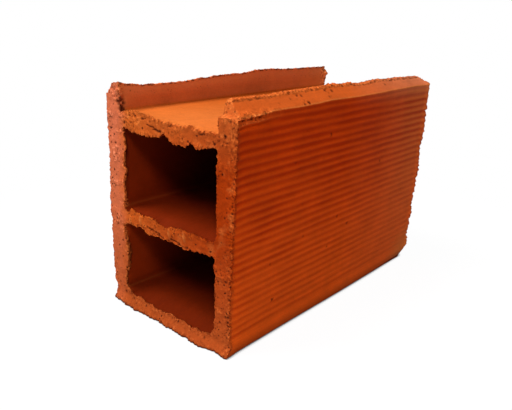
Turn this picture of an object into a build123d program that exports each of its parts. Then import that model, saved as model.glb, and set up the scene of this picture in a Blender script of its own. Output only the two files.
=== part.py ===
from build123d import *
import os

# Fired clay block, extruded in one piece: two closed cells and an open channel along its top.
# Millimetres. +X across the width, +Y along the length, +Z up, origin at the middle of the underside.

# Size across and along
block_width = 140.0
block_length = 285.0
side_wall = 17.0

# The section's webs and spaces, from the underside up
bottom_web = 15.0
lower_cell_height = 62.0
middle_web = 13.0
upper_cell_height = 67.0
top_web = 12.5
channel_depth = 22.0

# Wall tops: a narrow land along each inner edge, then a bevel that falls outwards
land_width = 4.0
bevel_drop = 9.5

# Corner radii of the extruded section
underside_corner_radius = 2.0
cell_corner_radius = 4.5
channel_corner_radius = 1.8
bevel_corner_radius = 1.0
land_corner_radius = 0.4

# Flutes: shallow rounded grooves that run the length of both sides
flute_pitch = 5.87
flute_depth = 1.1
crest_width = 0.65
plain_strip_below = 15.3
plain_strip_above = 2.0

# The far corner of the underside is knocked off, by these lengths along the edges that met there
chip_across = 9.0
chip_along = 13.0
chip_up = 11.0

# Heights and half widths worked out from the sizes above
half_width = block_width / 2
half_length = block_length / 2
inner_half_width = half_width - side_wall
land_half_width = inner_half_width + land_width
upper_cell_floor = bottom_web + lower_cell_height + middle_web
channel_floor = upper_cell_floor + upper_cell_height + top_web
land_height = channel_floor + channel_depth
outer_edge_height = land_height - bevel_drop

# One half of the outline, from the underside to the channel floor: across, up, corner radius
half_outline = [
    (half_width, 0, underside_corner_radius),
    (half_width, outer_edge_height, bevel_corner_radius),
    (land_half_width, land_height, land_corner_radius),
    (inner_half_width, land_height, land_corner_radius),
    (inner_half_width, channel_floor, channel_corner_radius),
]
mirrored_half = [(-across, up, radius) for across, up, radius in reversed(half_outline)]
outline = half_outline + mirrored_half

# Flutes: each groove is the arc that a round of this radius leaves in the side
flute_width = flute_pitch - crest_width
flute_radius = (flute_width**2 / 4 + flute_depth**2) / (2 * flute_depth)
flute_axis = half_width - flute_depth + flute_radius
fluted_height = outer_edge_height - plain_strip_below - plain_strip_above
flute_count = int(fluted_height / flute_pitch)
lowest_flute = plain_strip_below + flute_pitch / 2


def cut_cell(floor, height):
    """Cut a closed cell, between both side walls, from a floor up to the next web."""
    with Locations((0, floor + height / 2)):
        RectangleRounded(2 * inner_half_width, height, cell_corner_radius, mode=Mode.SUBTRACT)


def cut_flutes(side):
    """Cut the column of flutes into one side of the section, +1 or -1 across."""
    for flute in range(flute_count):
        with Locations((side * flute_axis, lowest_flute + flute * flute_pitch)):
            Circle(flute_radius, mode=Mode.SUBTRACT)


with BuildPart() as channel_block:
    with BuildSketch(Plane.XZ):
        with BuildLine():
            FilletPolyline(
                [(across, up) for across, up, _ in outline],
                radius=[radius for _, _, radius in outline],
                close=True,
            )
        make_face()
        cut_cell(bottom_web, lower_cell_height)
        cut_cell(upper_cell_floor, upper_cell_height)
        cut_flutes(1)
        cut_flutes(-1)
    extrude(amount=half_length, both=True)

    # The knocked-off corner is a flat break through its three edges
    split(
        bisect_by=Plane(
            origin=(half_width - chip_across, half_length, 0),
            z_dir=(1 / chip_across, 1 / chip_along, -1 / chip_up),
        ),
        keep=Keep.BOTTOM,
    )
channel_block.part.label = "channel_block"

os.makedirs("parts", exist_ok=True)
export_step(channel_block.part, "parts/channel_block.step")
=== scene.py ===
import math
import random

import bpy
import numpy as np
from mathutils import Matrix, Vector, geometry, kdtree, noise


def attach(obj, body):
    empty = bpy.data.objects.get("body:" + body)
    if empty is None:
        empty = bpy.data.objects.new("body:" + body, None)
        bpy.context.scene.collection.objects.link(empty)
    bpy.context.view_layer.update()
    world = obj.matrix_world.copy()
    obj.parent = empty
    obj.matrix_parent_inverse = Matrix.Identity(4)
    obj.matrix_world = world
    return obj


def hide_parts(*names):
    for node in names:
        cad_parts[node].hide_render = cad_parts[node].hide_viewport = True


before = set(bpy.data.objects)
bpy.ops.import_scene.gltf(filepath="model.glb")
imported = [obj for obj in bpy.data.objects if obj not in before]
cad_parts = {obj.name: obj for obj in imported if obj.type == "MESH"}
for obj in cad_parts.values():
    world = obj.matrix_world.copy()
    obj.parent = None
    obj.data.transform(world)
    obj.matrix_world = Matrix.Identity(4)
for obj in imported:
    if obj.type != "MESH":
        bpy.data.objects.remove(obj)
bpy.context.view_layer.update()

# Fired clay channel block. Lengths here are millimetres, +X across, +Y along, +Z up, as in the CAD model.
MM = 0.001
SEED = 11

# The extruded section, with the CAD model's sizes
BLOCK_WIDTH = 140.0
BLOCK_LENGTH = 285.0
SIDE_WALL = 17.0
BOTTOM_WEB = 15.0
LOWER_CELL_HEIGHT = 62.0
MIDDLE_WEB = 13.0
UPPER_CELL_HEIGHT = 67.0
TOP_WEB = 12.5
CHANNEL_DEPTH = 22.0
LAND_WIDTH = 4.0
BEVEL_DROP = 9.5
HALF_WIDTH = BLOCK_WIDTH / 2
HALF_LENGTH = BLOCK_LENGTH / 2
INNER_HALF_WIDTH = HALF_WIDTH - SIDE_WALL
LAND_HALF_WIDTH = INNER_HALF_WIDTH + LAND_WIDTH
LOWER_CELL_TOP = BOTTOM_WEB + LOWER_CELL_HEIGHT
UPPER_CELL_FLOOR = LOWER_CELL_TOP + MIDDLE_WEB
UPPER_CELL_TOP = UPPER_CELL_FLOOR + UPPER_CELL_HEIGHT
CHANNEL_FLOOR = UPPER_CELL_TOP + TOP_WEB
LAND_HEIGHT = CHANNEL_FLOOR + CHANNEL_DEPTH
OUTER_EDGE = LAND_HEIGHT - BEVEL_DROP

# Flutes on both sides
FLUTE_PITCH = 5.87
FLUTE_DEPTH = 0.95
LOWEST_FLUTE = 16.6
FLUTE_COUNT = 28
ROWS_PER_FLUTE = 6

# The cut ends lie this far inside the CAD model's ends, so that their torn lips come about level with it
END_RECESS = 0.3
# The knocked-off corner, by its lengths along the three edges
CHIP_ACROSS = 9.0
CHIP_ALONG = 13.0
CHIP_UP = 11.0

# Heights of the ridges against the CAD model, along the block: place along, rise
LEFT_RIDGE = [(-142, -0.8), (-135, -2.3), (-117, -3.7), (-95, -4.2), (-73, -4), (-48, -2.3), (-22, -1.2),
              (0, -1.2), (14, -0.6), (27, 0.9), (50, 0.9), (70, -0.4), (95, -1), (142, -1.5)]
RIGHT_RIDGE = [(-142, 0), (-97, -0.5), (-50, 0.3), (-14, 0.8), (10, 0.2), (33, -1.2), (50, -0.2), (67, 0.3),
               (85, -0.9), (105, -0.6), (125, -1.2), (142, -1.4)]
# Height that the right wall's near end is broken down to: distance from the end, height
CHIP_STEP = [(0, 180), (5, 181), (6, 183.5), (6.8, 188.4), (8.6, 190.4), (12.4, 191.8), (14, 194)]
# Rise of the right side's upper edge
RIGHT_EDGE = [(-142, -1.8), (-127, -1.4), (-115, -0.9), (-102, 0.2), (-88, 0.3), (-74, 0), (-54, 0.4), (-30, 1.2),
              (10, 0.7), (45, 0.8), (70, 1.4), (114, 1.9), (142, 1.2)]
# How torn that edge is, from 0 to 1
TORN_EDGE = [(-142, 0.5), (-137, 1), (-116, 1), (-110, 0.45), (-98, 0.3), (-88, 0.1), (142, 0.1)]
# How far the flutes sag below even spacing
FLUTE_DROP = [(40, 0), (75, 0.35), (105, 0.7), (125, 0.5), (165, 0.1)]
# The crumbly strip along each ridge: its width from the inner edge
STRIP_WIDTH = 5.6

# Torn edges of the near end, out of the surface: place across, or up, and rise
TOP_WEB_UPPER = [(-53, 0), (-40, 2), (-28, 2.5), (-19, 1), (-11, -0.5), (4, -1.6), (23, -1.5), (26, 1.2),
                 (29, -1.5), (34, -2), (53, -1.4)]
TOP_WEB_LOWER = [(-53, -1.4), (-47, 0.6), (-39, 2), (-25, 2.9), (-13, 2.4), (-8, 1.5), (-4, -1), (-2, -2), (1, 0.8),
                 (8, 3.8), (19, 3.8), (24, 2.6), (26, -0.8), (28, -0.4), (31, 2.4), (34, 3.2), (40, 1.5), (53, -3)]
MIDDLE_WEB_UPPER = [(-53, -4.5), (-49, -3.6), (-44, -0.2), (-38, -1.2), (-26, -1.4), (-20, -0.2), (-14, -1.8),
                    (-8, -3.9), (-2, -4.9), (4, -2.8), (16, -1), (22, -1.8), (28, -0.8), (34, -1.5), (53, -2)]
MIDDLE_WEB_LOWER = [(-53, 0.8), (-38, 1), (-32, -1), (-29, 0.4), (-26, 3.2), (-20, 3), (-8, 2.2), (4, 1.8),
                    (10, 2.7), (16, 1.7), (22, 3.3), (28, 1.2), (40, 0.5), (53, -0.3)]
BOTTOM_WEB_UPPER = [(-53, 1), (-50, 0), (-44, -4.6), (-32, -3.4), (-26, -5.6), (-20, -4.4), (-14, -6.4), (-2, -4.9),
                    (4, -4), (10, -5.6), (16, -4.4), (28, -6.4), (34, -4.2), (40, -5), (46, -3.8), (53, -0.8)]
LEFT_INNER = [(15, 0), (25, -0.5), (33, 0.5), (41, 3), (52, 3.6), (58, 0.5), (73, -1.5), (91, -0.8), (101, 1.6),
              (112, 1), (117, 1.6), (121, 4.6), (126, 1.6), (135, 2), (141, 4.6), (147, 3), (155, 1.5)]
RIGHT_INNER = [(15, 0), (62, 0), (70, 2.6), (76, 0), (157, 0.6)]
LEFT_OUTER = [(0, 0), (6, -2), (14, -3), (22, -0.2), (33, 1), (45, 1.4), (60, 1), (74, 0.8), (82, 1.6), (96, 2.2),
              (104, 1),
              (136, 0.2), (160, 0.8), (182, 0.8)]
FAR_OUTER = [(11, 2), (25, 0.4), (45, 1), (60, 0), (78, 0.3), (86, 0.3), (103, 1.4), (118, -0.4), (136, 1.5),
             (153, 0.8), (169, 0.6), (182, -0.3)]
RIGHT_OUTER = [(0, 1.6), (7, 0), (15, -0.7), (41, -1.5), (65, -1.5), (89, -0.9), (111, 0), (133, 0.5), (182, 0.9)]
# Burr at the far end of the left ridge's inner face
LEFT_FAR_BURR = [(172, 0), (179, 1.2), (184.5, 2.6), (188, 1.2), (191, 0)]
# How far the near end's bottom edge was dragged out towards the front
BOTTOM_DRAG = [(-68, 1.4), (-59, 3), (-45, 4.4), (-33, 4.8), (-28, 4), (-13, 3.4), (5, 4.2), (25, 5.4), (41, 5.2),
               (57, 2.8), (64, 2.8), (70, 3.6)]

# Pits in the near end: across, up, radius, depth
NEAR_PITS = [(-35, 168, 1.2, 0.7), (-17, 166.5, 1, 0.4), (-49, 161, 1.2, 0.6), (3.5, 161, 0.9, 0.5),
             (60, 168, 1.5, 0.9), (50, 161, 1.3, 0.7), (64, 178, 1.1, 0.6), (-63, 78, 1.4, 0.9), (-62, 73, 1, 0.6),
             (-54, 11, 1.4, 0.8), (-27, 7, 1.1, 0.5), (-43, 8, 1, 0.4), (10, 13, 1, 0.4), (27, 10, 1.1, 0.5),
             (44, 7, 1, 0.4), (56, 59, 1.1, 0.6), (56, 46, 0.9, 0.4), (59, 26, 1, 0.5), (-62, 18, 1, 0.5),
             (-56, 176.4, 1.8, 1.6), (-53.8, 174.2, 2.2, 2.2), (-54.6, 179, 1.5, 1.4), (-54.2, 170.8, 1.6, 1.5),
             (-59, 186, 1, 0.6), (-66, 182.5, 0.9, 0.6),
             (66, 36, 1.1, 1.2), (67.5, 33.5, 1.1, 1.2), (65, 33, 0.9, 1), (67, 29, 1, 1), (67, 26, 1.1, 1.1),
             (-61, 143, 1, 0.8), (-64, 120, 1.1, 0.9), (61, 110, 1, 0.7), (58, 141, 1, 0.8)]
# Narrow slits in the near end: from across, up, to across, up, half width, depth
NEAR_SLITS = [(-24, 80, -8, 78, 0.6, 1), (-12, 76.6, 4, 75.4, 0.5, 0.8), (2, 78, 16, 76.8, 0.6, 0.9),
              (13, 75.5, 24, 76, 0.5, 0.7), (-15, 161.4, -5, 160, 0.8, 1), (-21, 163.6, -13, 162.4, 0.5, 0.7),
              (-27, 167, -22, 168, 0.6, 0.8), (1, 165.4, 7, 167, 0.5, 0.6), (34, 164.8, 41, 166.2, 0.5, 0.6)]
# How far in from the near end the cells' left walls are torn: height, distance
TORN_WIDTH = [(15, 1), (26, 1.6), (36, 5), (48, 6.5), (60, 3), (76, 1.5), (92, 4), (103, 2.5), (112, 1.6), (120, 4.5),
              (127, 2), (134, 2.6), (141, 3.6), (150, 1.2)]
# Smears that stand out of the middle web's near end: across, up, half width
NEAR_SMEARS = [(-31.5, 84, 1.6), (20, 84, 1.8), (-44, 80, 1.3), (3, 82, 1.2)]
# Cracks across the right bevel: along, and half width
BEVEL_CRACKS = [(-62, 0.9), (-26, 0.8)]
# Pits in the right side and its bevel: along, up, radius, depth
SIDE_PITS = [(-93, 31, 1.6, 0.7), (-6, 81, 1.4, 0.6), (12, 70, 1.5, 0.6), (-19, 56, 1.1, 0.4), (-56, 76, 1.2, 0.4),
             (-98, 64, 1.2, 0.4), (-27, 156, 1.4, 0.5), (60, 120, 1.2, 0.4), (-72, 140, 1.1, 0.3)]
# Pits in the right bevel: along, across, radius, depth
BEVEL_PITS = [(-59, 68, 1.6, 1.3), (-65, 68.4, 1.4, 0.6), (-30, 67, 1.2, 0.5), (-76, 63, 1, 0.4), (-28, 60.5, 1.3, 0.6),
              (66, 63, 1.3, 0.5), (-66, 61, 1.2, 0.6), (-61, 62, 1.1, 0.5), (-20, 62, 1.6, 0.6), (-92, 65, 0.9, 0.3)]


def curve(points, at):
    """The value at one place of a line through points of (place, value), eased between them."""
    if at <= points[0][0]:
        return points[0][1]
    for (start, low), (end, high) in zip(points, points[1:]):
        if at <= end:
            share = (at - start) / (end - start)
            return low + (high - low) * share * share * (3 - 2 * share)
    return points[-1][1]


def fade(distance, reach):
    """1 at no distance, easing to 0 at its reach."""
    share = min(max(1 - distance / reach, 0), 1)
    return share * share * (3 - 2 * share)


def rough(x, y, z, size, kind=0, octaves=2):
    """Smooth noise about 0 with features of one size, a different field for each kind."""
    shift = 37.7 * kind + SEED
    place = Vector((x / size + shift, y / size - shift, z / size + 0.5 * shift))
    return noise.fractal(place, 0.8, 2.1, octaves)


def flute_levels():
    """Heights of the rows on a fluted side: coarse on the plain strips, then even shares of each flute."""
    levels = [3.4, 4.8, 6.2, 7.6, 9.0, 10.4, 11.8, 13.2]
    first = LOWEST_FLUTE - FLUTE_PITCH / 2
    levels += [first + FLUTE_PITCH * k / ROWS_PER_FLUTE for k in range(FLUTE_COUNT * ROWS_PER_FLUTE + 1)]
    levels += [178.8, 179.6, 180.4]
    return levels


def section_rows(corners):
    """Rows round a closed section: across, up, normal across, normal up, surface. Its corners are rounded.

    A corner is across, up and radius, with the surface that leaves it and that surface's row spacing,
    or the list of its rows' distances from the corner."""
    arcs = []
    for i, (x, z, radius, surface, _) in enumerate(corners):
        before = (Vector((x, z)) - Vector(corners[i - 1][:2])).normalized()
        after = (Vector(corners[(i + 1) % len(corners)][:2]) - Vector((x, z))).normalized()
        turn = math.atan2(before.cross(after), before.dot(after))
        start = Vector((x, z)) - before * radius * math.tan(abs(turn) / 2)
        normal = Vector((before.y, -before.x))
        side = math.copysign(1, turn)
        centre = start - normal * radius * side
        steps = max(2, math.ceil(radius * abs(turn) / 0.9))
        arc = []
        for k in range(steps + 1):
            spin = Matrix.Rotation(turn * k / steps, 2)
            out = spin @ normal
            at = centre + out * radius * side
            name = corners[i - 1][3] if k < steps / 2 else surface
            arc.append((at.x, at.y, out.x, out.y, name))
        arcs.append(arc)
    rows = []
    for i, (x, z, _, surface, spacing) in enumerate(corners):
        rows += arcs[i]
        start = Vector(arcs[i][-1][:2])
        end = Vector(arcs[(i + 1) % len(arcs)][0][:2])
        reach = (end - start).length
        ahead = (end - start) / reach
        if isinstance(spacing, list):
            places = [place - (start - Vector((x, z))).length for place in spacing]
        else:
            count = max(1, round(reach / spacing))
            places = [reach * k / count for k in range(1, count)]
        for place in places:
            at = start + ahead * place
            rows.append((at.x, at.y, ahead.y, -ahead.x, surface))
    return rows


def half_stations(first, growth, widest):
    """Distances from one end to the middle of the block, closest together at the end."""
    places = [0.0]
    step = first
    while places[-1] + step < HALF_LENGTH:
        places.append(places[-1] + step)
        step = min(step * growth, widest)
    return places


def stations(widest, near_growth, far_growth):
    """Places along the block, closest together at its ends and most of all at the near one."""
    near = [place - HALF_LENGTH for place in half_stations(0.5, near_growth, widest)]
    far = [HALF_LENGTH - place for place in half_stations(min(widest, 0.9), far_growth, widest)]
    return near + far[::-1]


STATIONS = {
    "side": stations(6.5, 1.15, 1.35),
    "bevel": stations(1.2, 1.04, 1.1),
    "land": stations(0.75, 1.03, 1.0),
    "rim": stations(1.0, 1.04, 1.1),
    "wall": stations(5.0, 1.15, 1.25),
    "floor": stations(8.0, 1.2, 1.4),
    "cell": stations(13.0, 1.35, 1.5),
    "torn": stations(13.0, 1.14, 1.4),
    "under": stations(9.0, 1.4, 1.5),
}

# What each vertex keeps for the material
MASKS = ("cut", "side", "inside", "pit_shade", "groove", "pale_and_highlight", "grit")
# How much of the sides' redder skin and of the cells' duller skin each surface has; both are painted shade, the cells'
# also on the channel walls
SKINS = {"side": (1, 0), "bevel": (0.47, 0), "land": (0.35, 0), "rim": (0, 0.23), "wall": (0, 0.23),
         "floor": (0, 0), "cell": (0, 1), "torn": (0, 1), "under": (1, 0)}

def finer(row):
    """The same row, with its surface renamed where it needs closer stations."""
    x, z, across, up, surface = row
    if surface == "bevel" and abs(x) < INNER_HALF_WIDTH + STRIP_WIDTH + 1.2:
        surface = "land"
    if surface == "wall" and z > LAND_HEIGHT - 4:
        surface = "rim"
    if surface == "cell" and across > 0.7:
        surface = "torn"
    return x, z, across, up, surface


levels = flute_levels()
fallen = [OUTER_EDGE - level for level in reversed(levels)]
bevel_run = Vector((HALF_WIDTH - LAND_HALF_WIDTH, BEVEL_DROP))
bevel_length = bevel_run.length
BEVEL_ROWS = 15
right_bevel = [bevel_length * (k / BEVEL_ROWS)**0.8 for k in range(1, BEVEL_ROWS)]
left_bevel = [bevel_length - place for place in reversed(right_bevel)]
outer_rows = section_rows([
    (HALF_WIDTH, 0, 2.2, "side", levels),
    (HALF_WIDTH, OUTER_EDGE, 0.9, "bevel", right_bevel),
    (LAND_HALF_WIDTH, LAND_HEIGHT, 1.0, "land", 0.7),
    (INNER_HALF_WIDTH, LAND_HEIGHT, 0.7, "wall", 1.1),
    (INNER_HALF_WIDTH, CHANNEL_FLOOR, 1.0, "floor", 1.0),
    (-INNER_HALF_WIDTH, CHANNEL_FLOOR, 1.0, "wall", 1.1),
    (-INNER_HALF_WIDTH, LAND_HEIGHT, 0.7, "land", 0.7),
    (-LAND_HALF_WIDTH, LAND_HEIGHT, 1.0, "bevel", left_bevel),
    (-HALF_WIDTH, OUTER_EDGE, 0.9, "side", fallen),
    (-HALF_WIDTH, 0, 2.2, "under", 1.7),
])
outer_rows = [finer(row) for row in outer_rows]


def cell_rows(floor, top):
    """Rows round one closed cell, whose normals point into it."""
    rows = section_rows([
        (-INNER_HALF_WIDTH, floor, 4.5, "cell", 1.0),
        (-INNER_HALF_WIDTH, top, 4.5, "cell", 1.0),
        (INNER_HALF_WIDTH, top, 4.5, "cell", 1.3),
        (INNER_HALF_WIDTH, floor, 4.5, "cell", 1.0),
    ])
    return [finer(row) for row in rows]


def near_lip(row):
    """How far a row's near end is torn out of its surface and frayed, and how far along the block that reaches."""
    x, z, across, up, surface = row
    sideways = 0.0
    upright = 0.0
    reach = 5.0
    if surface in ("cell", "torn"):
        upper = z > UPPER_CELL_FLOOR - 1
        floor = UPPER_CELL_FLOOR if upper else BOTTOM_WEB
        middle = floor + 30
        sideways = curve(LEFT_INNER, z) if x < 0 else curve(RIGHT_INNER, z)
        if z > middle:
            upright = curve(TOP_WEB_LOWER if upper else MIDDLE_WEB_LOWER, x)
        elif upper:
            upright = curve(MIDDLE_WEB_UPPER, x)
            reach = 12.0
        else:
            upright = curve(BOTTOM_WEB_UPPER, x)
            reach = 22.0
        if abs(across) > 0.7:
            reach = 6.5
    elif surface == "floor":
        upright = curve(TOP_WEB_UPPER, x)
    elif surface == "side":
        sideways = curve(LEFT_OUTER if x < 0 else RIGHT_OUTER, z)
        reach = 12.0 if x < 0 else 9.0
    elif surface == "under":
        sideways = curve(LEFT_OUTER, 0) if x < 0 else curve(RIGHT_OUTER, 0)
        reach = 9.0
    lip = sideways * across**2 + upright * up**2
    if surface == "under":
        return lip, -0.9 * max(rough(x, 0, 0, 5, 1) + 0.6 * rough(x, 0, 0, 1.7, 2), 0), 3.5
    strength = 0.7 if surface == "side" else 1.0
    if surface == "cell" and across < -0.7:
        strength = 0.5
    fray = strength * (1.0 * rough(x, 0, z, 3.4, 1) + 1.2 * rough(x, 0, z, 1.5, 2))
    return lip, fray, reach


def far_lip(row):
    """How far a row's far end is torn out of its surface, and how far along the block that reaches."""
    x, z, across, up, surface = row
    if surface == "under":
        return 0.0, 5.0
    strength = 2.2 if surface in ("cell", "torn", "floor") else 1.1
    lip = strength * rough(x, 9, z, 9, 3) + 0.9 * rough(x, 9, z, 2.4, 4)
    if surface == "wall" and x < 0:
        lip += curve(LEFT_FAR_BURR, z)
    if surface == "side":
        lip += 1.3 * min(max(z - 30, 0) / 30, 1)
        if x > 0:
            lip += curve(FAR_OUTER, z)
    if surface == "bevel" and x > 0:
        lip += 1.6 * min(max(x - 59, 0) / 9, 1)
    return lip, 5.0


def end_relief(x, z, end):
    """How far the cut end stands out from its plane at one place, -1 near and +1 far."""
    kind = 10 if end < 0 else 20
    out = -END_RECESS + 0.6 * rough(x, 0, z, 16, kind) + 0.4 * rough(x, 0, z, 6, kind + 1)
    out += 0.12 * rough(x, 0, z, 2.4, kind + 2)
    if end < 0:
        top_left = fade(math.hypot(x + 58, z - 184), 14)
        out += top_left * (2.2 * rough(x, 0, z, 4.5, 27) + 0.8 * rough(x, 0, z, 2, 28))
        out += (curve(BOTTOM_DRAG, x) + 1.9 * rough(x, 0, 0, 3.2, 26)) * fade(z, 10)
    else:
        out += 0.8 * fade(z, 6) * (0.6 + rough(x, 0, z, 14, 25)) + 0.7 * min(max(z - 30, 0) / 30, 1)
        out += 0.8 * min(max(z - 140, 0) / 30, 1)
    return out


def right_chip(x, y):
    """The height that the near end of the right wall is broken down to."""
    near = y + HALF_LENGTH + 0.9 * rough(x, 0, 0, 4, 30)
    return curve(CHIP_STEP, near) + 0.4 * rough(x, y, 0, 2.6, 35)


def flute_wear(y, z):
    """What is left of the flutes: less low down and towards the far end."""
    low = fade(z - 16, 150)
    far = (y + HALF_LENGTH) / BLOCK_LENGTH
    return (1 - 0.5 * low) * (1 - 0.45 * low * far) * (1 + 0.42 * rough(0, y / 3, z, 14, 40) + 0.12 * far * (1 - low))


def pits_at(pits, u, v):
    """Depth and painted shade that a list of round pits leaves at one place of a surface."""
    depth = 0.0
    dark = 0.0
    for pit_u, pit_v, radius, deep in pits:
        away = math.hypot(u - pit_u, v - pit_v)
        if away < radius * 1.6:
            inside = fade(max(away * (1 + 0.5 * rough(u, 0, v, 1.2 * radius, 53)), 0), radius * 1.25)
            depth = max(depth, deep * inside)
            dark = max(dark, min(2.2 * inside * deep, 1))
    return depth, dark


def crumbling(row, y):
    """How crumbly a row's surface is at one station, from 0 to 1."""
    x, z, across, _, surface = row
    near = y + HALF_LENGTH
    far = HALF_LENGTH - y
    left = x < 0
    if surface == "under":
        return 0.0
    if surface == "side":
        share = fade(near, 3.4)
        if not left:
            share = max(share, curve(TORN_EDGE, y) * fade(OUTER_EDGE - z, 7))
    elif surface in ("land", "bevel"):
        in_strip = abs(x) - INNER_HALF_WIDTH - STRIP_WIDTH + 0.9 * rough(0, y, 0, 7, 63)
        share = 0.6 * fade(max(in_strip, 0), 1.2)
        if left:
            share = max(share, fade(near, 16))
        else:
            share = max(share, curve(TORN_EDGE, y) * fade(z - OUTER_EDGE, 4))
    elif surface in ("wall", "rim"):
        share = fade(near, 6) if left else fade(near, 2.5)
        if left:
            share = max(share, 0.9 * fade(far, 13))
    elif surface == "torn":
        width = curve(TORN_WIDTH, z) + 1.6 * rough(0, y, z, 2, 66)
        share = min(max(width - near + 0.5, 0), 1)
    elif surface == "cell":
        share = 0.8 * fade(near, 1.2)
    else:
        share = 0.8 * fade(near, 3.5)
    return max(share, 0.8 * fade(far, 3.5))


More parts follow.
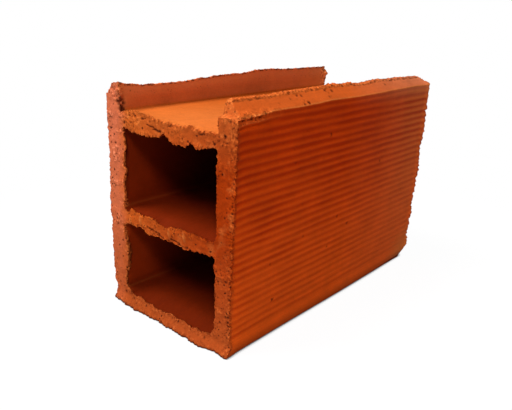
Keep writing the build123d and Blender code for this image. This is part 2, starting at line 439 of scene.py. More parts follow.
def place(row, y, ends):
    """Where a row's point at one station lies, with its masks: cut, side, inside, pit, groove, pale, grit."""
    x, z, across, up, surface = row
    (lip_near, fray_near, reach_near), (lip_far, reach_far), relief_near, relief_far = ends
    near = y + HALF_LENGTH
    far = HALF_LENGTH - y
    left = x < 0
    share = crumbling(row, y)
    lump = 0.8 * rough(x, y, z, 1.7, 60)
    bumps = 0.28 * rough(x, y / 2, z, 40, 5) + 0.1 * rough(x, y / 12, z, 5, 6) + 0.05 * rough(x, y, z, 2.5, 7)
    bumps += share * lump
    border = 0.9 if surface == "cell" else 2.2
    cut = max(fade(near, border), fade(far, 2.0), (0.25 if surface in ("land", "bevel") else 0.9) * share)
    if surface == "side":
        cut *= 0.7
    pit_shade = 0.0
    pale_and_highlight = 0.0
    groove = 0.0
    shift_z = 0.0
    if surface == "side":
        bumps -= 0.15 * fade(z, 4)
        flute = (z - LOWEST_FLUTE) / FLUTE_PITCH
        if -0.5 < flute < FLUTE_COUNT - 0.5:
            # The groove's depth, which also marks where its painted shade goes
            groove = (0.5 + 0.5 * math.cos(2 * math.pi * flute)) * flute_wear(y, z)
            bumps -= FLUTE_DEPTH * groove
            shift_z = 0.45 * rough(x, y / 2, z, 14, 8) - 0.7 * fade(near, 14) - curve(FLUTE_DROP, z)
        else:
            bumps -= 0.3 * fade(abs(flute + 0.5), 1)
            shaded = fade(abs(z - OUTER_EDGE + 2.1), 1.9)
            bumps -= 0.6 * shaded
            groove = shaded
        if not left:
            depth, pit_shade = pits_at(SIDE_PITS, y, z)
            bumps -= depth
            torn = curve(TORN_EDGE, y)
            if torn > 0.3 and z > 173:
                # Torn lip: raised rims with painted highlight, and a hollow between them with painted shade
                rims = fade(abs(z - 177.6 - rough(0, y, 0, 6, 68)), 1.5)
                middle = fade(abs(z - 180), 1.6) * min(max(0.4 + 2 * rough(0, y, 0, 3, 69), 0), 1.3)
                bumps += torn * (1.4 * rims - 0.8 * middle)
                groove *= 1 - torn
                pale_and_highlight = 0.3 * torn * rims
                pit_shade = max(pit_shade, 0.45 * torn * middle)
            low_edge = fade(z, 9) * max(0, y - 35) / 100
            bumps -= 2.4 * low_edge * low_edge
        bumps *= 1 - 0.5 * fade(near, 1.5)
    if surface in ("bevel", "land") and not left:
        depth, pit_shade = pits_at(BEVEL_PITS, y, x)
        # Cracks across the right bevel, with painted shade in them
        for along, half in BEVEL_CRACKS:
            away = abs(y - along - 2.2 * rough(0, 0, z, 3, 36))
            broken = fade(away, half * 1.5) * min(max(0.2 + 2.2 * rough(x, along, 0, 2.4, 37), 0), 1)
            depth = max(depth, 0.5 * broken)
            pit_shade = max(pit_shade, 0.8 * broken)
        bumps -= depth
    edge_rise = curve(RIGHT_EDGE, y) if not left else -0.5
    ridge = curve(LEFT_RIDGE if left else RIGHT_RIDGE, y)
    if surface in ("land", "bevel", "wall", "rim"):
        if surface in ("wall", "rim"):
            climb = ((z - CHANNEL_FLOOR) / CHANNEL_DEPTH)**2
        else:
            climb = min((z - OUTER_EDGE) / BEVEL_DROP, 1)
            shift_z += (1 - climb) * edge_rise
        ragged = rough(x, y, 0, 6, 31) * 0.5 + rough(x, y, 0, 1.9, 32) * 0.4
        if not left:
            ragged += 1.3 * max(rough(0, y, 0, 2.6, 33), 0) * min(max((y + 30) / 20, 0), 1)
        shift_z += climb * (ridge + ragged * climb)
    if surface in ("land", "bevel"):
        # The broken seam of each strip, with painted shade in its holes
        seam = abs(abs(x) - INNER_HALF_WIDTH - STRIP_WIDTH + 0.9 * rough(0, y, 0, 7, 63))
        holes = 0.3 + 0.5 * fade(abs(y + 113), 24) + 2.2 * rough(0, y, 0, 3, 65)
        broken = fade(seam, 1.2) * min(max(holes, 0), 1)
        bumps -= 0.6 * broken
        pit_shade = max(pit_shade, 0.8 * broken)
    if surface == "side":
        shift_z += edge_rise * fade(OUTER_EDGE - z, 11)
    if surface == "bevel":
        # Painted highlight along the bevel's outer edge
        pale_and_highlight = 0.8 * fade(z - OUTER_EDGE, 0.8)
        if not left:
            torn = curve(TORN_EDGE, y) * fade(z - OUTER_EDGE, 4)
            bumps += 2.4 * torn * rough(x, y, z, 3.4, 67)
    if surface == "side" and not left:
        weathered = 0.6 * fade(far, 105) * fade(OUTER_EDGE - z, 200)
        pale_and_highlight = max(pale_and_highlight, fade(math.hypot(far, z), 50), weathered * (1 - 0.8 * groove))
    if surface == "torn" and left:
        pale_and_highlight = 0.2 * share
    # Painted highlight: a light streak along the cells' lower left fillets
    if surface in ("cell", "torn") and left and up > 0:
        pale_and_highlight = max(pale_and_highlight, 0.1 * fade(abs(across - up), 0.5) * fade(near, 110))
    # Darker along the ridges' inner edges
    dark_ridge_edge = surface in ("land", "rim") and z > LAND_HEIGHT - 1.2
    if dark_ridge_edge and (left or (y > -20 and x < INNER_HALF_WIDTH + 1.8)):
        amount = 0.35 if left else 0.55
        pit_shade = max(pit_shade, 0.8 * min(max(amount + 1.8 * rough(0, y, 0, 4, 38), 0), 1))
    if left and surface in ("wall", "rim"):
        # A real hollow in the left wall's near top, with painted shade in it
        hollow = fade(math.hypot(near - 2, 0.6 * (z - 174.5)), 6)
        bumps -= 2 * hollow
        pit_shade = max(pit_shade, min(max(1.3 * hollow * (0.9 + 1.5 * rough(0, y, z, 2.5, 41)), 0), 1))
    if left and surface in ("wall", "rim", "land"):
        lean = min(max((z - 177) / 12, 0), 1)
        if surface == "land":
            lean = max(1 - (-x - INNER_HALF_WIDTH) / LAND_WIDTH, 0)
        x -= 1.3 * lean * lean
        if surface != "land":
            cut = max(cut, 0.9 * lean, 0.8 * fade(far, 15) * min(max(rough(0, y, z, 9, 39) + 0.6, 0), 1))
    # Painted shade in dark outlines along the torn rims of the ends
    if surface != "side" and (near < 0.7 or far < 0.7):
        torn = min(max((rough(x, 0, z, 1.9, 51) - 0.1) * 2.5, 0), 0.8)
        pit_shade = max(pit_shade, torn * 0.6)
    # Painted contact shadow along the bottom of the sides and the underside
    if surface in ("side", "under"):
        pit_shade = max(pit_shade, fade(z, 2.4), 0.6 * fade(z, 11))
    bumps += lip_near * fade(near, reach_near) + fray_near * fade(near, min(reach_near, 6))
    bumps += lip_far * fade(far, reach_far)
    if surface != "cell":
        cut = max(cut, min(abs(lip_near + fray_near) * 0.3, 1) * fade(near, reach_near * 0.7))
    at = Vector((x + across * bumps, y, z + up * bumps + shift_z))
    if not left and near < 14 and surface in ("land", "bevel", "wall", "rim"):
        top = right_chip(x, y)
        whole = LAND_HEIGHT + ridge
        if surface in ("wall", "rim") and top < whole:
            keep = (top - CHANNEL_FLOOR) / (whole - CHANNEL_FLOOR)
            at.z = CHANNEL_FLOOR + (at.z - CHANNEL_FLOOR) * keep
        elif top < at.z:
            at.z = top + 0.15 * lump
            cut = 0.6
            share = 0.6
            pit_shade = 0.0
            pale_and_highlight = 0.3
    if left and near < 30 and surface in ("land", "bevel"):
        at.z += 2.8 * fade(near, 26) * fade(abs(z - 187.3), 5.4)
    at.y += relief_near * fade(near, 7) + relief_far * fade(far, 7)
    side, inside = SKINS[surface]
    if left and surface in ("wall", "rim"):
        # Less of the channel wall's painted shade towards the far end
        inside *= 1 - 0.9 * fade(far, 130)
        # Painted light: the left channel wall paler towards its top; it is also paler towards the far end
        pale_and_highlight = max(pale_and_highlight, 0.4 * min(max((z - 180) / 9, 0), 1), 0.5 * fade(far, 70))
    return at, (cut, side, inside, pit_shade, groove, pale_and_highlight, share)


def knock_corner(at):
    """Move a point that lies outside the knocked-off corner's break onto the break."""
    ahead = Vector((1 / CHIP_ACROSS, 1 / CHIP_ALONG, -1 / CHIP_UP))
    corner = Vector((HALF_WIDTH - CHIP_ACROSS, HALF_LENGTH, 0))
    steep = ahead.length
    over = (at - corner).dot(ahead) / steep + 0.25 * rough(*at, 5, 50)
    if over <= 0:
        return False
    at -= ahead / steep * over
    return True


def closer_stations(row):
    """A row's stations, with more of them beside the pits and cracks that it crosses."""
    x, z, _, _, surface = row
    extra = []
    if x > 0 and surface == "side":
        if z > 173:
            extra = [-HALF_LENGTH + 3.1 + 1.02 * k for k in range(27)]
        for along, up, radius, _ in SIDE_PITS:
            if abs(z - up) < 1.6 * radius:
                extra += [along + 0.5 * radius * k for k in range(-3, 4)]
    if x > 0 and surface in ("bevel", "land"):
        extra = [along + 0.55 * k for along, _ in BEVEL_CRACKS for k in range(-3, 4)]
    return sorted(STATIONS[surface] + extra)


class Build:
    """The growing mesh: vertices, faces and each vertex's masks."""

    def __init__(self):
        self.vertices = []
        self.masks = []
        self.faces = []

    def add(self, at, masks):
        """Add one vertex and give its index."""
        if knock_corner(at):
            masks = (1.0, 0.0, 0.0, 0.0, 0.0, 0.7, 0.6)
        at.z = max(at.z, 0.12)
        self.vertices.append(at)
        self.masks.append(masks)
        return len(self.vertices) - 1

    def skin(self, rows):
        """One closed section swept along the block; gives the loops of vertices at its two ends."""
        strings = []
        for row in rows:
            near_at = Vector((row[0], row[1]))
            ends = [near_lip(row), far_lip(row), 0, 0]
            near_edge = near_at + Vector(row[2:4]) * (ends[0][0] + ends[0][1])
            worn = 0.3 - 0.3 * fade(row[1], 4)
            ends[2] = worn - end_relief(near_edge.x, near_edge.y, -1)
            ends[3] = end_relief(near_at.x, near_at.y, 1) - worn
            strings.append([(y, self.add(*place(row, y, ends))) for y in closer_stations(row)])
        for lower, upper in zip(strings, strings[1:] + strings[:1]):
            self.join(lower, upper)
        return [string[0][1] for string in strings], [string[-1][1] for string in strings]

    def join(self, lower, upper):
        """Faces between two neighbouring rows, whose stations may differ."""
        i = 0
        j = 0
        while i < len(lower) - 1 or j < len(upper) - 1:
            next_lower = lower[i + 1][0] if i < len(lower) - 1 else math.inf
            next_upper = upper[j + 1][0] if j < len(upper) - 1 else math.inf
            a = lower[i][1]
            b = upper[j][1]
            if abs(next_lower - next_upper) < 1e-6:
                self.faces.append((a, lower[i + 1][1], upper[j + 1][1], b))
                i += 1
                j += 1
            elif next_lower < next_upper:
                self.faces.append((a, lower[i + 1][1], b))
                i += 1
            else:
                self.faces.append((a, upper[j + 1][1], b))
                j += 1

    def cap(self, loops, end, spacing):
        """The cut face over one end, between the outline and the cells."""
        rim = [index for loop in loops for index in loop]
        flat = [Vector((self.vertices[index].x, self.vertices[index].z)) for index in rim]
        edges = []
        first = 0
        for loop in loops:
            edges += [(first + k, first + (k + 1) % len(loop)) for k in range(len(loop))]
            first += len(loop)
        dice = random.Random(SEED + end)
        tree = kdtree.KDTree(len(flat))
        for index, at in enumerate(flat):
            tree.insert((at.x, at.y, 0), index)
        tree.balance()
        grid = []
        down = spacing * 0.87
        for line in range(int(LAND_HEIGHT / down) + 2):
            for column in range(int(BLOCK_WIDTH / spacing) + 2):
                x = -HALF_WIDTH + (column + 0.5 * (line % 2)) * spacing + dice.uniform(-0.2, 0.2) * spacing
                z = line * down + dice.uniform(-0.2, 0.2) * spacing
                if tree.find((x, z, 0))[2] > spacing * 0.6:
                    grid.append((x, z))
        for pit_x, pit_z, radius, _ in NEAR_PITS if end < 0 else []:
            grid = [at for at in grid if math.hypot(at[0] - pit_x, at[1] - pit_z) > 1.4 * radius]
            ring = [(0, 0)]
            for share, count in ((0.6, 6), (1.15, 10)):
                turns = [2 * math.pi * k / count for k in range(count)]
                ring += [(radius * share * math.cos(turn), radius * share * math.sin(turn)) for turn in turns]
            ring = [(pit_x + across, pit_z + up) for across, up in ring]
            grid += [at for at in ring if tree.find((*at, 0))[2] > 0.35]
        corners = [np.array([flat[k] for k in range(start, stop)]) for start, stop in self.spans(loops)]
        grid = np.array(grid)
        grid = grid[self.within(grid, corners)]
        points = flat + [Vector(at) for at in grid]
        found, _, triangles, origins, _, _ = geometry.delaunay_2d_cdt(points, edges, [], 0, 1e-6)
        if len(found) != len(points):
            raise RuntimeError("the torn edges of an end cross each other")
        names = list(rim)
        for at in points[len(flat):]:
            edge = tree.find((at.x, at.y, 0))[2]
            out = end_relief(at.x, at.y, end) - 0.3 * fade(edge, 1.6) * (1 - fade(at.y, 4))
            border = 5 if at.y < BOTTOM_WEB + 2 else 2.6
            share = max(0.8 * fade(edge, border), min(max(2 * rough(at.x, 0, at.y, 11, 61 + end) - 0.2, 0), 0.8))
            share = max(share, fade(math.hypot(at.x + 57, at.y - 183), 11))
            share = max(share, fade(math.hypot(at.x + 40, at.y - 165), 16))
            share = max(share, 0.85 * fade(HALF_WIDTH - at.x, 10))
            out += 0.5 * share * rough(at.x, end * 40, at.y, 1.7, 60)
            pit_shade = 0.0
            pale_and_highlight = 0.0
            if end < 0:
                # Painted shade in the near end's pits and slits
                depth, dark = pits_at(NEAR_PITS, at.x, at.y)
                pit_shade = max(pit_shade, dark)
                for x0, z0, x1, z1, half, deep in NEAR_SLITS:
                    on_line, reached = geometry.intersect_point_line(at, (x0, z0), (x1, z1))
                    away = (Vector(at) - on_line.xy).length + 0.5 * rough(at.x, 0, at.y, 2.2, 52)
                    if 0 < reached < 1 and away < half * 1.6:
                        depth = max(depth, deep * fade(away, half * 1.6))
                        pit_shade = max(pit_shade, min(1.4 * fade(away, half * 1.6), 1))
                out -= depth
                for smear_x, smear_z, half in NEAR_SMEARS:
                    wide = fade(abs(at.x - smear_x + 0.15 * (at.y - smear_z)), half * 1.4)
                    smear = wide * fade(abs(at.y - smear_z), 6)
                    out += 1.7 * smear
                    # Painted highlight on the smears
                    pale_and_highlight = max(pale_and_highlight, smear)
            # Painted contact shadow along the end's bottom edge
            pit_shade = max(pit_shade, fade(at.y, 2.2))
            masks = (1.0, 0.0, 0.0, pit_shade, 0.0, pale_and_highlight, share)
            names.append(self.add(Vector((at.x, end * (HALF_LENGTH + out), at.y)), masks))
        names = [names[found_from[0]] for found_from in origins]
        centres = np.array([[sum(found[k][axis] for k in triangle) / 3 for axis in (0, 1)]
                            for triangle in triangles])
        for triangle, solid in zip(triangles, self.within(centres, corners)):
            if solid:
                corner_names = [names[k] for k in triangle]
                self.faces.append(corner_names if end < 0 else corner_names[::-1])

    @staticmethod
    def spans(loops):
        """Where each loop starts and stops in the list of all the loops' points."""
        start = 0
        spans = []
        for loop in loops:
            spans.append((start, start + len(loop)))
            start += len(loop)
        return spans

    @staticmethod
    def within(points, polygons):
        """Which points lie inside an odd number of the polygons."""
        inside = np.zeros(len(points), bool)
        for polygon in polygons:
            ahead = np.roll(polygon, -1, axis=0)
            for (x0, z0), (x1, z1) in zip(polygon, ahead):
                if z0 == z1:
                    continue
                crosses = (points[:, 1] > min(z0, z1)) & (points[:, 1] <= max(z0, z1))
                at = x0 + (points[:, 1] - z0) * (x1 - x0) / (z1 - z0)
                inside ^= crosses & (points[:, 0] < at)
        return inside


def build_block():
    """The whole block as one closed mesh object."""
    build = Build()
    near_loops = []
    far_loops = []
    for rows in (outer_rows, cell_rows(BOTTOM_WEB, LOWER_CELL_TOP), cell_rows(UPPER_CELL_FLOOR, UPPER_CELL_TOP)):
        near_loop, far_loop = build.skin(rows)
        near_loops.append(near_loop)
        far_loops.append(far_loop)
    build.cap(near_loops, -1, 1.0)
    build.cap(far_loops, 1, 1.6)
    mesh = bpy.data.meshes.new("channel_block_body")
    mesh.from_pydata([at * MM for at in build.vertices], [], build.faces)
    for column, name in enumerate(MASKS):
        layer = mesh.attributes.new(name, "FLOAT", "POINT")
        layer.data.foreach_set("value", np.array([masks[column] for masks in build.masks], np.float32))
    mesh.validate()
    mesh.polygons.foreach_set("use_smooth", [True] * len(mesh.polygons))
    mesh.set_sharp_from_angle(angle=math.radians(62))
    mesh.update()
    block = bpy.data.objects.new("channel_block_body", mesh)
    bpy.context.scene.collection.objects.link(block)
    return block


class Nodes:
    """A material's node tree, with short calls to add and join its nodes."""

    def __init__(self, material):
        material.use_nodes = True
        self.tree = material.node_tree
        self.tree.nodes.clear()

    def add(self, kind, inputs=None, **settings):
        """Add a node; an input given as a socket is linked, and any other is set."""
        node = self.tree.nodes.new(kind)
        for name, value in settings.items():
            setattr(node, name, value)
        for name, value in (inputs or {}).items():
            if isinstance(value, bpy.types.NodeSocket):
                self.tree.links.new(value, node.inputs[name])
            else:
                node.inputs[name].default_value = value
        return node

    def maths(self, operation, *values, clamp=False):
        """A Math node's result."""
        return self.add("ShaderNodeMath", dict(enumerate(values)), operation=operation, use_clamp=clamp).outputs[0]

    def mix(self, factor, first, second, blend="MIX"):
        """A colour between two, or a blend of them."""
        node = self.add("ShaderNodeMix", data_type="RGBA", blend_type=blend, clamp_factor=True)
        for socket, value in ((node.inputs[0], factor), (node.inputs[6], first), (node.inputs[7], second)):
            if isinstance(value, bpy.types.NodeSocket):
                self.tree.links.new(value, socket)
            else:
                socket.default_value = value
        return node.outputs[2]

    def noise(self, place, size, detail=3.0, roughness=0.55, stretch=(1, 1, 1)):
        """Noise from 0 to 1 with features of a size in millimetres, stretched along the axes."""
        scale = self.add("ShaderNodeVectorMath", {0: place, 1: tuple(1 / part for part in stretch)},
                         operation="MULTIPLY").outputs[0]
        return self.add("ShaderNodeTexNoise", {"Vector": scale, "Scale": 1 / (size * MM), "Detail": detail,
                                               "Roughness": roughness}).outputs["Fac"]

    def ramp(self, value, low, high):
        """A value mapped so that low gives 0 and high gives 1, clamped."""
        return self.add("ShaderNodeMapRange", {"Value": value, "From Min": low, "From Max": high}).outputs[0]


# Colours of the fired clay, linear
SKIN = (0.72, 0.168, 0.028, 1)
# The sides' skin: redder and darker than the top's, painted shade
SIDE_SHADED = (0.68, 0.056, 0.001, 1)
# Lighter, more orange colour low on the sides: painted bounce light from the floor
SIDE_BOUNCE_LIT = (0.91, 0.117, 0.008, 1)
# Painted shade in the flute grooves and in the line under each side's upper edge
GROOVE_SHADE = (0.45, 0.027, 0.0005, 1)
# Painted shade in the cells and, in part, on the channel walls: a little lighter in the lower cell, darker on the cell
# floors
CELL_SHADE = (0.24, 0.020, 0.0014, 1)
CELL_SHADE_LOW = (0.28, 0.025, 0.0018, 1)
CELL_FLOOR_SHADE = (0.165, 0.0140, 0.0009, 1)
# Painted shade on the channel floor, towards its back and its left wall
FLOOR_SHADE = (0.56, 0.101, 0.009, 1)
# Cut faces: darker and redder on the right, brighter on the left, a painted light falloff across the ends
CUT_SHADED = (0.44, 0.042, 0.0015, 1)
CUT_LIT = (0.67, 0.112, 0.012, 1)
# Pinker, brighter cut colour on the left wall's end: painted light from the left
CUT_LEFT_LIT = (0.78, 0.184, 0.078, 1)
CUT_LOW = (0.43, 0.075, 0.014, 1)
CUT_LOW_RIGHT = (0.54, 0.095, 0.017, 1)
# Paler colour for random patches and the top of the cut ends, and, through the pale mask, for painted highlights
EDGE = (0.80, 0.215, 0.045, 1)
# Lightens the raised crumbs: painted highlight
CRUMB_HIGHLIGHT = (1.5, 1.95, 2.3, 1)
# Painted shade, darkest deep inside the cells
DEEP_CELL_SHADE = (0.10, 0.006, 0.0004, 1)
# Paler pink mixed in at the far half's top; on the left channel wall's upper part it is painted light
PALE_PINK = (0.72, 0.210, 0.090, 1)
# Nearly black: painted shade in pits, holes, slits, cracks and hollows, along torn rims and under the bottom edges
PIT_SHADE = (0.045, 0.004, 0.002, 1)


def clay_material():
    """Fired clay: smooth drawn skin, redder on the sides as painted shade, coarse and paler where it was cut."""
    material = bpy.data.materials.new("fired_clay")
    nodes = Nodes(material)
    place = nodes.add("ShaderNodeTexCoord").outputs["Object"]
    masks = {name: nodes.add("ShaderNodeAttribute", attribute_name=name).outputs["Fac"]
             for name in MASKS}
    apart = nodes.add("ShaderNodeSeparateXYZ", {0: place})
    cloud = nodes.noise(place, 34, 3)
    patch = nodes.noise(place, 9, 4)
    grain = nodes.noise(place, 1.3, 3, 0.6)
    streak = nodes.noise(place, 2.0, 3, 0.6, (1, 30, 1))
    inward = nodes.maths("MULTIPLY_ADD", nodes.maths("SUBTRACT", patch, 0.5), 0.016, apart.outputs["X"])
    # Painted light from the left on the left wall's cut end, less inside the cells
    left_light = nodes.maths("MULTIPLY", nodes.ramp(inward, -0.045, -0.059),
                           nodes.ramp(apart.outputs["Z"], -0.12, 0.15))
    left_light = nodes.maths("MULTIPLY", left_light, nodes.maths("MULTIPLY_ADD", masks["inside"], -0.6, 1.0))
    farness = nodes.maths("MULTIPLY", nodes.ramp(apart.outputs["Z"], 0.171, 0.187), 0.75)
    farness = nodes.maths("MULTIPLY_ADD", masks["side"], 0.15, farness)
    farness = nodes.maths("MULTIPLY", nodes.ramp(apart.outputs["Y"], 0.0, 0.1425), farness)
    # Painted light: the left channel wall paler towards its top
    on_wall = nodes.maths("MULTIPLY", nodes.ramp(apart.outputs["Z"], 0.1705, 0.173),
                          nodes.ramp(apart.outputs["X"], -0.04, -0.05))
    farness = nodes.maths("MAXIMUM", farness, nodes.maths("MULTIPLY", on_wall, 0.3))
    # Painted shade on the channel floor: darker towards the back, and towards the left wall that shades it
    back = nodes.maths("MULTIPLY", nodes.ramp(apart.outputs["Y"], -0.11, 0.03), 0.9)
    back = nodes.maths("MULTIPLY_ADD", nodes.ramp(apart.outputs["X"], 0.0, -0.05), 0.35, back)
    back = nodes.maths("MULTIPLY", back, nodes.ramp(apart.outputs["Z"], 0.1716, 0.1704), clamp=True)
    # Painted shade: the cells darken towards the middle of the block
    depth = nodes.ramp(nodes.maths("ABSOLUTE", apart.outputs["Y"]), 0.115, 0.05)
    # Painted bounce light from the floor, stronger towards the bottom of the sides
    floor_bounce = nodes.maths("MULTIPLY", nodes.ramp(apart.outputs["Z"], 0.165, 0.005), masks["side"])
    drag = nodes.maths("MULTIPLY", nodes.ramp(apart.outputs["Z"], 0.095, 0.012),
                       nodes.maths("MULTIPLY_ADD", nodes.ramp(inward, -0.047, -0.06), -0.35, 0.85))
    crumbs = nodes.noise(place, 2.1, 2, 0.5)
    # Painted highlight on the raised crumbs, and painted shade in the hollows between them
    crumb_highlight = nodes.maths("MULTIPLY", nodes.ramp(crumbs, 0.54, 0.64), masks["grit"])
    hollow = nodes.maths("MULTIPLY", nodes.ramp(crumbs, 0.42, 0.34), masks["grit"])

    # Painted shade: the sides, bevels and lands take part of the sides' redder, darker colour
    skin = nodes.mix(masks["side"], nodes.mix(back, SKIN, FLOOR_SHADE), SIDE_SHADED)
    skin = nodes.mix(floor_bounce, skin, SIDE_BOUNCE_LIT)
    # Painted shade in the flute grooves
    skin = nodes.mix(masks["groove"], skin, GROOVE_SHADE)
    skin = nodes.mix(farness, skin, PALE_PINK)
    # Painted shade in the cells: lighter low down, darker on the floors, darkest deep inside
    inner = nodes.mix(nodes.ramp(apart.outputs["Z"], 0.085, 0.07), CELL_SHADE, CELL_SHADE_LOW)
    on_floor = nodes.maths("MULTIPLY", nodes.ramp(apart.outputs["Z"], 0.097, 0.091),
                           nodes.ramp(apart.outputs["Z"], 0.081, 0.085))
    on_floor = nodes.maths("MULTIPLY_ADD", on_floor, 0.5, nodes.ramp(apart.outputs["Z"], 0.022, 0.0165))
    inner = nodes.mix(on_floor, inner, CELL_FLOOR_SHADE)
    skin = nodes.mix(masks["inside"], skin, nodes.mix(depth, inner, DEEP_CELL_SHADE))
    # Painted light falloff across the cut ends, brighter towards the left
    torn = nodes.mix(nodes.ramp(apart.outputs["X"], 0.052, -0.04), CUT_SHADED, CUT_LIT)
    torn = nodes.mix(nodes.maths("MULTIPLY", nodes.ramp(patch, 0.55, 0.75), 0.35), torn, EDGE)
    torn = nodes.mix(nodes.maths("MULTIPLY", nodes.ramp(apart.outputs["Z"], 0.14, 0.175), 0.3), torn, EDGE)
    # Painted light from the left
    torn = nodes.mix(left_light, torn, CUT_LEFT_LIT)
    torn = nodes.mix(drag, torn, nodes.mix(nodes.ramp(apart.outputs["X"], 0.03, 0.054), CUT_LOW, CUT_LOW_RIGHT))
    colour = nodes.mix(masks["cut"], skin, torn)
    mottle = nodes.maths("MULTIPLY_ADD", nodes.maths("SUBTRACT", cloud, 0.5), 0.4, 1.0)
    mottle = nodes.maths("MULTIPLY_ADD", nodes.maths("SUBTRACT", patch, 0.5), 0.22, mottle)
    mottle = nodes.maths("MULTIPLY_ADD", nodes.maths("SUBTRACT", grain, 0.5), 0.34, mottle)
    drawn = nodes.maths("MULTIPLY_ADD", masks["side"], 0.2, 0.14)
    mottle = nodes.maths("MULTIPLY_ADD", nodes.maths("SUBTRACT", streak, 0.5), drawn, mottle)
    shade = nodes.add("ShaderNodeCombineXYZ", {0: mottle, 1: mottle, 2: mottle}).outputs[0]
    colour = nodes.mix(1.0, colour, shade, "MULTIPLY")
    # Paler colour where marked: painted highlight on edges, rims, smears and fillets, painted light on the left wall's
    # top, and paler clay at breaks
    colour = nodes.mix(nodes.maths("MULTIPLY", masks["pale_and_highlight"], 0.8), colour, EDGE)
    colour = nodes.mix(crumb_highlight, colour, nodes.mix(1.0, colour, CRUMB_HIGHLIGHT, "MULTIPLY"))

    # Painted shade in small holes over the cut faces, joined with the marked pits, slits, cracks and hollows
    wander = nodes.add("ShaderNodeTexNoise", {"Vector": place, "Scale": 1 / (1.4 * MM), "Detail": 2.0}).outputs["Color"]
    bent = nodes.add("ShaderNodeVectorMath", {0: wander, 1: (0.0016, 0.0016, 0.0016), 2: place},
                     operation="MULTIPLY_ADD").outputs[0]
    crowd = nodes.maths("MULTIPLY_ADD", nodes.ramp(nodes.noise(place, 12, 2), 0.48, 0.62), 0.9, 0.1)
    dark = masks["pit_shade"]
    hole = None
    for size, spread, chosen in ((2.0, 0.34, 0.62), (5.0, 0.22, 0.66)):
        cells = nodes.add("ShaderNodeTexVoronoi", {"Vector": bent, "Scale": 1 / (size * MM), "Randomness": 1.0})
        pick = nodes.add("ShaderNodeSeparateColor", {0: cells.outputs["Color"]}).outputs[0]
        spot = nodes.maths("MULTIPLY", nodes.ramp(cells.outputs["Distance"], spread, spread * 0.5),
                           nodes.maths("GREATER_THAN", pick, chosen))
        if hole is None:
            spot = nodes.maths("MULTIPLY", spot, crowd)
        hole = spot if hole is None else nodes.maths("MAXIMUM", hole, spot)
    hole = nodes.maths("MULTIPLY", hole, nodes.maths("MULTIPLY_ADD", masks["cut"], 0.8, 0.16))
    hole = nodes.maths("MULTIPLY", hole, nodes.maths("SUBTRACT", 1.0, masks["inside"]))
    dark = nodes.maths("MAXIMUM", hole, nodes.maths("MAXIMUM", hollow, dark))
    colour = nodes.mix(nodes.maths("MULTIPLY", dark, 0.9), colour, PIT_SHADE)

    coarse = nodes.noise(place, 1.6, 5, 0.65)
    fine = nodes.noise(place, 0.5, 3, 0.6)
    height = nodes.maths("MULTIPLY", nodes.maths("ADD", coarse, nodes.maths("MULTIPLY", fine, 0.35)),
                         nodes.maths("MULTIPLY_ADD", masks["cut"], 0.25, 0.12))
    height = nodes.maths("MULTIPLY_ADD", streak, nodes.maths("MULTIPLY", drawn, 0.5), height)
    height = nodes.maths("MULTIPLY_ADD", hole, -0.5, height)
    height = nodes.maths("MULTIPLY_ADD", nodes.maths("MULTIPLY", crumbs, masks["grit"]), 1.6, height)
    bump = nodes.add("ShaderNodeBump", {"Height": height, "Distance": 1.0 * MM, "Strength": 0.9})
    roughness = nodes.maths("MULTIPLY_ADD", grain, 0.2, 0.68)
    shader = nodes.add("ShaderNodeBsdfPrincipled", {"Base Color": colour, "Roughness": roughness,
                                                    "Normal": bump.outputs[0], "Specular IOR Level": 0.04})
    output = nodes.add("ShaderNodeOutputMaterial", {"Surface": shader.outputs[0]})
    output.target = "ALL"
    return material


block = build_block()
block.data.materials.append(clay_material())
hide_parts("channel_block")
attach(block, "root")


def seen_directly(nodes):
    """1 for camera, mirror and see-through rays, which show a plain white surround."""
    path = nodes.add("ShaderNodeLightPath")
    seen = nodes.maths("MAXIMUM", path.outputs["Is Camera Ray"], path.outputs["Is Glossy Ray"])
    return nodes.maths("MAXIMUM", seen, path.outputs["Is Transmission Ray"])


def floor_material():
    """Pale floor that is seen as white, but for the object's soft shadow on it, partly cast and partly painted."""
    material = bpy.data.materials.new("pale_floor")
    nodes = Nodes(material)
    place = nodes.add("ShaderNodeTexCoord").outputs["Object"]
    away = nodes.add("ShaderNodeVectorMath", {0: place}, operation="LENGTH").outputs["Value"]
    around = nodes.ramp(away, 0.42, 0.16)
    plain = nodes.add("ShaderNodeBsdfDiffuse", {"Color": (0.66, 0.65, 0.64, 1)})
    shade = nodes.mix(around, (0, 0, 0, 1), (0.10, 0.10, 0.10, 1))
    shadowed = nodes.add("ShaderNodeBsdfDiffuse", {"Color": shade})
    # Painted shadow: the glow dims a little around the block, and more where ambient occlusion finds the block close by
    glow = nodes.maths("MULTIPLY_ADD", around, -0.05, 1.0)
    contact = nodes.add("ShaderNodeAmbientOcclusion", {"Distance": 4.5 * MM}, samples=8).outputs["AO"]
    glow = nodes.maths("MULTIPLY", glow, nodes.ramp(contact, 0.2, 0.7))
    white = nodes.add("ShaderNodeEmission", {"Color": (1, 1, 1, 1), "Strength": glow})
    shown = nodes.add("ShaderNodeAddShader", {0: shadowed.outputs[0], 1: white.outputs[0]})
    both = nodes.add("ShaderNodeMixShader", {0: seen_directly(nodes), 1: plain.outputs[0], 2: shown.outputs[0]})
    nodes.add("ShaderNodeOutputMaterial", {"Surface": both.outputs[0]})
    return material


def make_floor():
    """A plain floor under the block."""
    half = 4.0
    mesh = bpy.data.meshes.new("floor")
    mesh.from_pydata([(-half, -half, 0), (half, -half, 0), (half, half, 0), (-half, half, 0)], [], [(0, 1, 2, 3)])
    mesh.materials.append(floor_material())
    floor = bpy.data.objects.new("floor", mesh)
    bpy.context.scene.collection.objects.link(floor)


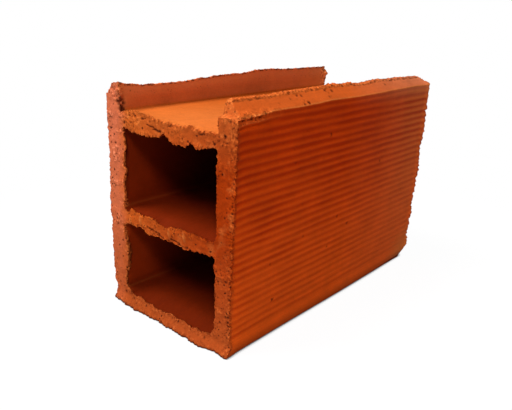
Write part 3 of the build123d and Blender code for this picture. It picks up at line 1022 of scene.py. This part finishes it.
def soft_light(name, place, aim, size, power):
    """A large square lamp turned towards a point."""
    lamp = bpy.data.lights.new(name, "AREA")
    lamp.shape = "SQUARE"
    lamp.size = size
    lamp.energy = power
    light = bpy.data.objects.new(name, lamp)
    light.location = place
    light.rotation_euler = (Vector(aim) - Vector(place)).to_track_quat("-Z", "Y").to_euler()
    bpy.context.scene.collection.objects.link(light)


def make_world():
    """White surround that lights the block only faintly."""
    world = bpy.data.worlds.new("studio")
    nodes = Nodes(world)
    white = nodes.add("ShaderNodeBackground", {"Color": (1, 1, 1, 1), "Strength": 1.0})
    fill = nodes.add("ShaderNodeBackground", {"Color": (1, 1, 1, 1), "Strength": 0.13})
    both = nodes.add("ShaderNodeMixShader", {0: seen_directly(nodes), 1: fill.outputs[0], 2: white.outputs[0]})
    nodes.add("ShaderNodeOutputWorld", {"Surface": both.outputs[0]})
    bpy.context.scene.world = world


def make_camera():
    """The photograph's camera, fitted to the block's corners, webs and flutes."""
    image_width = 512
    sensor = 36.0
    focal_pixels = 574.9
    middle_across = 238
    middle_down = 226
    image_height = 410
    turn = math.radians(41.16)
    lift = math.radians(20.70)
    roll = math.radians(2.0)
    back = Vector((math.sin(turn) * math.cos(lift), -math.cos(turn) * math.cos(lift), math.sin(lift)))
    level = Vector((math.cos(turn), math.sin(turn), 0))
    rise = back.cross(level)
    right = level * math.cos(roll) + rise * math.sin(roll)
    up = rise * math.cos(roll) - level * math.sin(roll)
    data = bpy.data.cameras.new("camera")
    data.sensor_fit = "HORIZONTAL"
    data.sensor_width = sensor
    data.lens = focal_pixels * sensor / image_width
    data.shift_x = (image_width / 2 - middle_across) / image_width
    data.shift_y = (middle_down - image_height / 2) / image_width
    data.clip_start = 0.01
    camera = bpy.data.objects.new("camera", data)
    place = Vector((317.3, -420.5, 247.7)) * MM
    camera.matrix_world = Matrix((
        (right.x, up.x, back.x, place.x),
        (right.y, up.y, back.y, place.y),
        (right.z, up.z, back.z, place.z),
        (0, 0, 0, 1),
    ))
    bpy.context.scene.collection.objects.link(camera)
    bpy.context.scene.camera = camera


make_floor()
make_world()
soft_light("overhead_left", (-0.42, -0.48, 1.25), (0, -0.05, 0.1), 0.6, 14)
soft_light("front_right", (0.78, -1.02, 1.23), (0, -0.05, 0.1), 0.35, 10)
make_camera()
bpy.context.scene.view_settings.view_transform = "Standard"

print("triangles", sum(len(face.vertices) - 2 for face in block.data.polygons))
